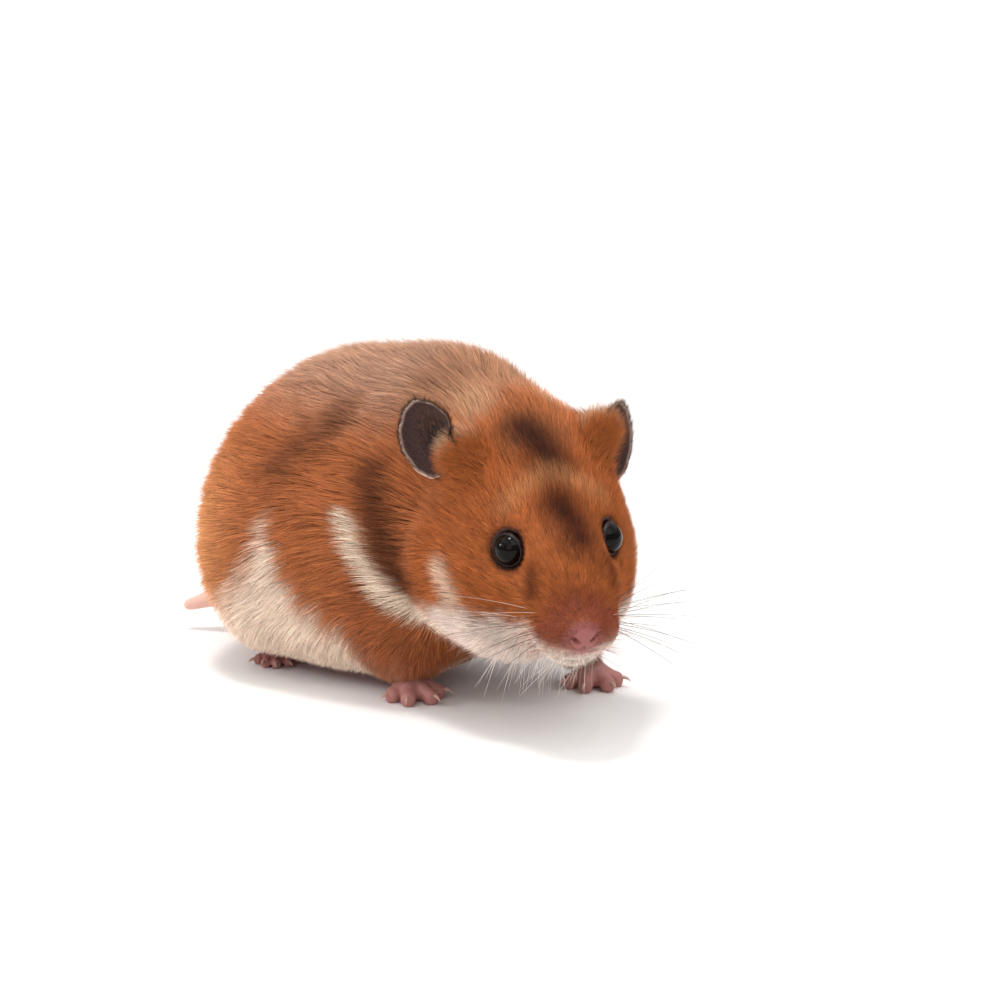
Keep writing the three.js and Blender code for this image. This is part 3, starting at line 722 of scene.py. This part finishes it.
def gather(points, tips, size, pull):
    """Tips drawn by a share of the way towards the mean tip of their cell, so that locks end together
    in clumps."""
    warped = points + 0.35 * size * np.sin(points[:, [1, 2, 0]] * 2.1 / size)
    cell = np.floor(warped / size).astype(np.int64) + 512
    key, place = np.unique(cell @ [1, 1024, 1048576], return_inverse=True)
    total = np.bincount(place)
    mean = np.stack([np.bincount(place, tips[:, k]) / total for k in range(3)], axis=-1)[place]
    share = pull * (0.5 + rng.random(len(key)))[place]
    return tips + (mean - tips) * np.minimum(share, 0.9)[:, None]


def locks(root, tip, normals, width, flat=0.6):
    """Closed slivers, each a ring of three points at the root and one point at the tip, with the way
    each point is shaded: mostly as the skin below, a little by its own side."""
    axis = unit(tip - root)
    across = unit(np.cross(normals, axis))
    over = np.cross(axis, across)
    turn = np.radians([90, 210, 330])
    ring = across[:, None] * np.cos(turn)[:, None] + flat * over[:, None] * np.sin(turn)[:, None]
    points = np.concatenate([root[:, None] + 0.5 * ring * width[:, None, None], tip[:, None]], axis=1)
    faces = np.array([(0, 2, 1), (0, 1, 3), (1, 2, 3), (2, 0, 3)])
    faces = ((np.arange(len(root)) * 4)[:, None, None] + faces).reshape(-1, 3)
    shading = np.concatenate([normals[:, None] + 1.1 * ring, (normals + 0.3 * over)[:, None]], axis=1)
    return points, faces, unit(shading)


coat_material, nodes, links, shader = finish("hamster fur", 0.62, Specular_IOR_Level=0.12)
coords = nodes.new("ShaderNodeTexCoord")
strands = nodes.new("ShaderNodeTexNoise")
strands.inputs["Scale"].default_value = 420
strands.inputs["Detail"].default_value = 3
shine = nodes.new("ShaderNodeMapRange")
shine.inputs["To Min"].default_value = 0.5
shine.inputs["To Max"].default_value = 0.78
links.new(coords.outputs["Object"], strands.inputs["Vector"])
links.new(strands.outputs["Fac"], shine.inputs["Value"])
links.new(shine.outputs["Result"], shader.inputs["Roughness"])


def unwrap(p, on_head):
    """The skin laid out flat: on the trunk by the angle round its long axis and the place along it, on
    the head by the angle round a line from the nose and the place along that."""
    q = to_head(p)
    body = np.stack([np.arctan2(p[:, 0], p[:, 2] - 31) / (2 * np.pi), p[:, 1] / 160], axis=-1)
    head = np.stack([np.arctan2(q[:, 0], q[:, 2] + 5) / (2 * np.pi), q[:, 1] / 90], axis=-1)
    return np.where(on_head[:, None], head, body)


def coat_piece(name, root, tip, normals, width, colors, on_head):
    """One piece of the coat, with each lock as a small patch of the map at its root's place. Locks are
    darker at the root and lighter at the tip."""
    points, faces, shading = locks(root, tip, normals, width)
    piece = solid(name, points.reshape(-1, 3), faces)
    paint(piece.data, (colors[:, None] * np.array([0.7, 0.7, 0.7, 1.2])[:, None]).reshape(-1, 3))
    piece.data.normals_split_custom_set_from_vertices(shading.reshape(-1, 3).tolist())
    piece.data.materials.append(coat_material)
    places = unwrap(root, on_head)
    low, high = places.min(axis=0), places.max(axis=0)
    places = 0.01 + 0.98 * (places - low) / (high - low)
    patch = np.array([(-0.0015, -0.0015), (0.0015, -0.0015), (0, -0.0005), (0, 0.0015)])
    flat = (places[:, None] + patch).reshape(-1, 2)
    layer = piece.data.uv_layers.new(name="OFBake")
    layer.data.foreach_set("uv", flat[faces.ravel()].astype(np.float32).ravel())
    return piece


def ticking(p):
    """Brightness that wanders from lock to lock and from clump to clump, as banded hairs part and show
    their dark roots."""
    cell = np.floor(p / 1.1 + 0.4 * np.sin(p[:, [1, 2, 0]] * 1.9)).astype(np.int64) + 512
    key, place = np.unique(cell @ [1, 1024, 1048576], return_inverse=True)
    x, y, z = p.T
    slow = np.sin(0.45 * x + 0.8 * y + 1) + np.sin(1.1 * z - 0.5 * y)
    slow = slow + np.sin(0.9 * x - 1.3 * z + 0.6 * y + 2)
    return (1 + 0.035 * slow + rng.normal(0, 0.1, len(key))[place])[:, None]


def lock_width(length):
    return 0.07 + 0.026 * length


def density(p):
    """How thickly locks stand, as a weight: the layers wanted, 3.2 and 0.9 more for each millimetre
    of length, over the area of one lock. It is half as much under the belly."""
    length = lock_length(p)
    under = 1 - 0.5 * ramp(-unit(slope(coat_top, p))[..., 2], 0.6, 0.9)
    return furred(p) * under * 2 * (3.2 + 0.9 * length) / (length * lock_width(length))


LOCKS = 300000
roots = scatter(density, LOCKS)
roots = roots[furred(roots)]
normals = unit(slope(coat_top, roots))
flow = lie(roots, normals)
depth = coat_depth(roots)
length = lock_length(roots) * rng.normal(1, 0.16, len(roots)).clip(0.55, 1.5)
trunk_field, head_field = masses(roots)
on_head = head_field < trunk_field
stray = rng.random(len(roots)) < 0.1
rise = rng.normal(-0.02, 0.22, len(roots)) * depth
rise = rise + stray * rng.random(len(roots)) ** 1.5 * (0.75 * depth + 0.35)
tint = markings(settle(coat_top, roots + flow * (0.55 * length)[:, None], 1))
tips = settle(coat_top, roots + flow * length[:, None], 1)
clumped = gather(roots, tips, 1.3, 0.42)
tips = np.where(on_head[:, None], gather(roots, tips, 0.9, 0.36), clumped)
tips = tips + unit(slope(coat_top, tips)) * rise[:, None]
tint = tint * ticking(roots) * rng.normal(1, 0.25, (len(roots), 1)).clip(0.4, 1.75)
tint = tint * rng.normal(1, 0.02, (len(roots), 3))
width = lock_width(length) * np.where(stray, 0.5, 1)
root_end = roots - normals * 0.12
body = roots - BODY_AT
q = to_head(roots)
left = np.where(on_head, q[:, 0] > 0, body[:, 0] > 0)
region = np.select(
    [on_head & (q[:, 1] > 9), on_head & (q[:, 1] > 0), on_head & (q[:, 2] > 1), on_head,
     (body[:, 2] < 12) & (body[:, 1] < 0), body[:, 2] < 12, body[:, 2] > 52, body[:, 1] > 22,
     body[:, 1] > -2],
    np.arange(9), 9)
REGIONS = ("muzzle", "face", "crown", "cheek", "chest", "belly", "back", "rump", "flank", "shoulder")
for number, name in enumerate(REGIONS):
    for which, chosen in (("right", ~left), ("left", left)):
        pick = (region == number) & chosen
        coat_piece(f"coat_{name}_{which}", root_end[pick], tips[pick], normals[pick], width[pick], tint[pick],
                   on_head[pick])


# ---------------------------------------------------------------------------------------------
# Hair of the ears: fine down on the back of each leaf, sparse pale hairs inside and along the
# rim, the rim's hairs whitened further as a painted highlight, and a tuft that rises from the head
# in front of it.
# ---------------------------------------------------------------------------------------------

EAR_HAIRS, TUFT_HAIRS, PAW_HAIRS = 5200, 3600, 1500

for name, (side, at, lean) in EARS.items():
    count = EAR_HAIRS
    turn, reach = rng.random(count) * 2 * np.pi, np.sqrt(rng.random(count))
    kind = rng.random(count)
    rim = kind < 0.22
    inside = (kind > 0.22) & (kind < 0.42)
    reach = np.where(rim, 0.97, reach)
    a, b = reach * np.cos(turn), reach * np.sin(turn)
    face = np.where(inside, 0.36, -0.36) * (1 - 0.3 * reach)
    root = ear_points(side, at, lean, a, b, np.where(rim, 0, face))
    off = unit(ear_points(side, at, lean, a, b, face * 1.5) - ear_points(side, at, lean, a, b, face))
    step = ear_points(side, at, lean, a * 1.03, b * 1.03 + 0.03, np.where(rim, 0, face)) - root
    way = unit(unit(step) + off * np.where(rim, 0.1, 0.3)[:, None] + rng.normal(0, 0.22, (count, 3)))
    long = np.where(rim, 1.2, np.where(inside, 1.5, 1.7)) * rng.uniform(0.6, 1.2, count)
    # Rim hairs are pale, and whitened further as a painted highlight.
    color = mix(np.broadcast_to(srgb(160, 108, 76), (count, 3)), srgb(228, 204, 186), rim)
    color = mix(color, srgb(104, 78, 70), inside * (0.3 + 0.7 * ramp(reach, 0.5, 0.9)))
    color = mix(color, srgb(186, 108, 56), (~rim & ~inside) * ramp(-a, -0.4, 0.6) * 0.8)
    color = color * rng.normal(1, 0.15, (count, 1)).clip(0.6, 1.4)
    coat_piece("ear_down_" + name, root - off * 0.1, root + way * long[:, None], off,
               np.where(inside, 0.07, 0.1), color, np.ones(count, bool))
    spread = 0.42 if side > 0 else 0.95
    base = from_head(np.array([side * 13.2, -17.8, 9.5 if side > 0 else 8.2]))
    root = scatter(lambda p: np.exp(-((np.linalg.norm(p - base, axis=-1) / 3.4) ** 2)) + 1e-9, TUFT_HAIRS)
    root = root[np.linalg.norm(root - base, axis=-1) < 6.5]
    n = unit(slope(coat_top, root))
    q = to_head(root)
    up = from_head(np.array([side * spread, -0.22, 1.0 if side > 0 else 0.75])) - from_head(np.zeros(3))
    way = unit(unit(up) * 0.8 + n * 0.35 + rng.normal(0, 0.16, root.shape))
    long = rng.uniform(3.0, 5.4, len(root))
    pale = ramp(-q[:, 1], 17, 20.5) * ramp(q[:, 2], 7, 11)
    color = mix(np.broadcast_to(srgb(182, 104, 54), root.shape), srgb(222, 180, 146), pale)
    color = color * rng.normal(1, 0.18, (len(root), 1)).clip(0.6, 1.5)
    coat_piece("ear_tuft_" + name, root - n * 0.1, root + way * long[:, None], n,
               np.full(len(root), 0.16), color, np.ones(len(root), bool))

# ---------------------------------------------------------------------------------------------
# Whiskers, and the long fine pale hairs of chin and throat: round tapering hairs rooted in the
# skin. Four rows of five whiskers stand on each side of the muzzle, and sag at their tips.
# ---------------------------------------------------------------------------------------------


def hairs(name, root, way, length, sag, radius, color):
    """Round tapering hairs that leave their roots along a way and bend down towards their tips."""
    root, way = np.asarray(root), unit(np.asarray(way))
    end = root + way * length[:, None] + np.array([0, 0, -1.0]) * sag[:, None]
    knee = root + way * (0.55 * length)[:, None]
    t = np.linspace(0, 1, 12)[None, :, None]
    paths = root[:, None] * (1 - t) ** 2 + 2 * knee[:, None] * t * (1 - t) + end[:, None] * t ** 2
    radii = radius[:, None] * (1 - 0.85 * np.linspace(0, 1, 12))
    points, quads, triangles = tubes(paths, radii, 4)
    piece = solid(name, points, quads, triangles)
    paint(piece.data, np.repeat(color, len(points) // len(root), axis=0))
    piece.data.materials.append(whisker_material)
    return piece


ROWS, PER_ROW, CHIN_HAIRS = 4, 5, 110
whisker_material, nodes, links, shader = finish("whisker", 0.4, Specular_IOR_Level=0.3)
for side, name in ((-1, "right"), (1, "left")):
    row, place = np.meshgrid(np.arange(ROWS), np.arange(PER_ROW), indexing="ij")
    row, place = row.ravel(), place.ravel()
    count = len(row)
    spot = np.stack(
        [side * (6.6 - 0.45 * place + 0.2 * row), 14.6 - 1.35 * place, -6.4 - 1.35 * row], axis=-1)
    spot = spot + rng.normal(0, 0.25, spot.shape)
    root = settle(skin_field, from_head(spot), 4, -0.2)
    lean = np.stack([side * np.ones(count), 0.28 - 0.22 * place, 0.24 - 0.2 * row], axis=-1)
    lean = lean + rng.normal(0, 0.12, lean.shape)
    way = from_head(lean) - from_head(np.zeros(3))
    length = 11.0 + 2.2 * place + 1.5 * (row < 2) + 6.5 * (side > 0) + rng.normal(0, 1.4, count)
    dark = (rng.random(count) < 0.7)[:, None]
    color = np.where(dark, srgb(74, 46, 36), srgb(205, 180, 165))
    hairs("whiskers_" + name, root, way, length, 0.12 * length, np.full(count, 0.052), color)
count = CHIN_HAIRS
spot = np.stack([rng.uniform(-11, 9, count), rng.uniform(-8, 13, count), np.full(count, -20.0)], axis=-1)
root = settle(skin_field, from_head(spot), 6, -0.2)
lean = np.stack(
    [rng.normal(-0.35, 0.3, count), rng.normal(0.1, 0.3, count), rng.normal(-1, 0.15, count)], axis=-1)
way = from_head(lean) - from_head(np.zeros(3))
length = rng.uniform(5, 11, count)
length = np.minimum(length, np.maximum(root[:, 2] - 1.5, 1) / 0.9)
hairs("chin_hairs", root, way, length, 0.05 * length, np.full(count, 0.07),
      np.broadcast_to(srgb(236, 222, 214), (count, 3)))

# ---------------------------------------------------------------------------------------------
# Hair of the paws: short pale hairs over the backs of the toes and the palm, longer and browner
# up the wrists. The soles have none.
# ---------------------------------------------------------------------------------------------

for paw, (at, heading, kind, side, leg) in PAWS.items():
    field = paw_field(paw)
    count = PAW_HAIRS
    middle = np.array(on_floor(paw, 1.0 if kind == "fore" else -2.0, 0, 0))
    spot = middle + rng.normal(0, 1, (count, 3)) * [2.6, 2.6, 0] + [0, 0, 4.5]
    spot[:, 2] = rng.uniform(2.5, 7.5, count)
    root = settle(field, spot, 5)
    n = unit(slope(field, root))
    good = (n[:, 2] > 0.05) & (root[:, 2] > 1.6) & (np.abs(field(root)) < 0.1)
    root, n = root[good], n[good]
    ahead = on_floor(paw, 1, 0, 0) - on_floor(paw, 0, 0, 0)
    way = unit(ahead - n * (n @ ahead)[:, None] + n * 0.25 + rng.normal(0, 0.2, root.shape) + [0, 0, -0.25])
    long = (0.7 + 0.35 * ramp(root[:, 2], 3.5, 6.5) * 5) * rng.uniform(0.7, 1.2, len(root))
    color = mix(np.broadcast_to(srgb(196, 160, 150), root.shape), srgb(150, 98, 70), ramp(root[:, 2], 3.8, 6))
    color = color * rng.normal(1, 0.12, (len(root), 1)).clip(0.6, 1.4)
    coat_piece("hair_" + paw, root - n * 0.05, root + way * long[:, None], n,
               np.full(len(root), 0.075), color, np.zeros(len(root), bool))

# ---------------------------------------------------------------------------------------------
# The floor is plain and pale. Two distant lamps, one broad and one small, stand above it, with
# three wide soft panels round it and a small one that puts a bright point in the eyes.
# ---------------------------------------------------------------------------------------------

floor = bpy.data.meshes.new("floor")
floor.from_pydata([(-4, -4, 0), (4, -4, 0), (4, 4, 0), (-4, 4, 0)], [], [(0, 1, 2, 3)])
floor_piece = bpy.data.objects.new("floor", floor)
bpy.context.scene.collection.objects.link(floor_piece)
floor_material = bpy.data.materials.new("pale floor")
floor_material.use_nodes = True
floor_shader = floor_material.node_tree.nodes["Principled BSDF"]
floor_shader.inputs["Base Color"].default_value = (0.93, 0.92, 0.91, 1)
floor_shader.inputs["Roughness"].default_value = 0.7
floor.materials.append(floor_material)

world = bpy.data.worlds.new("studio")
world.use_nodes = True
world.node_tree.nodes["Background"].inputs["Color"].default_value = (1, 1, 1, 1)
world.node_tree.nodes["Background"].inputs["Strength"].default_value = 0.36
bpy.context.scene.world = world
bpy.context.scene.view_settings.view_transform = "Standard"


def panel(name, place, aim, size, power):
    """A square light panel that faces a point."""
    light = bpy.data.lights.new(name, "AREA")
    light.shape = "SQUARE"
    light.size = size
    light.energy = power
    lamp = bpy.data.objects.new(name, light)
    bpy.context.scene.collection.objects.link(lamp)
    back = np.array(place, float) - np.array(aim, float)
    back /= np.linalg.norm(back)
    side = np.cross([0, 0, 1.0], back)
    side /= np.linalg.norm(side)
    turn = np.eye(4)
    turn[:3, 0], turn[:3, 1], turn[:3, 2], turn[:3, 3] = side, np.cross(back, side), back, place
    lamp.matrix_world = turn.T.tolist()
    return lamp


for name, energy, angle, turn in (("sky", 1.35, 110, (0, 8)), ("overhead", 1.25, 12, (-5, -6))):
    light = bpy.data.lights.new(name, "SUN")
    light.energy = energy
    light.angle = np.radians(angle)
    lamp = bpy.data.objects.new(name, light)
    bpy.context.scene.collection.objects.link(lamp)
    lamp.rotation_euler = (np.radians(turn[0]), np.radians(turn[1]), 0)
panel("key", (-0.12, -0.5, 0.75), (0, 0, 0.03), 0.6, 1.7)
panel("fill", (-0.75, -0.45, 0.5), (0, 0, 0.03), 0.6, 1.2)
panel("side", (-0.60, 0.35, 0.60), (0, 0, 0.03), 0.8, 1.2)
panel("glint", (-0.48, 0.40, 0.30), (0, -0.02, 0.03), 0.12, 0.9)

camera_data = bpy.data.cameras.new("camera")
camera_data.lens = 128.52
camera_data.sensor_width = 36
camera_data.clip_start = 0.05
camera = bpy.data.objects.new("camera", camera_data)
bpy.context.scene.collection.objects.link(camera)
azimuth, elevation = np.radians(-45.95), np.radians(13.0)
right = np.array([np.cos(azimuth), np.sin(azimuth), 0])
back = np.array(
    [np.sin(azimuth) * np.cos(elevation), -np.cos(azimuth) * np.cos(elevation), np.sin(elevation)])
up = np.cross(back, right)
aim_height, aim_right, aim_up = 30.0, 17.82, 5.10
camera_distance = 0.7
target = (np.array([0, 0, aim_height]) + right * aim_right + up * aim_up + BODY_AT) * MM
place = np.eye(4)
place[:3, 0], place[:3, 1], place[:3, 2], place[:3, 3] = right, up, back, target + camera_distance * back
camera.matrix_world = place.T.tolist()
bpy.context.scene.camera = camera
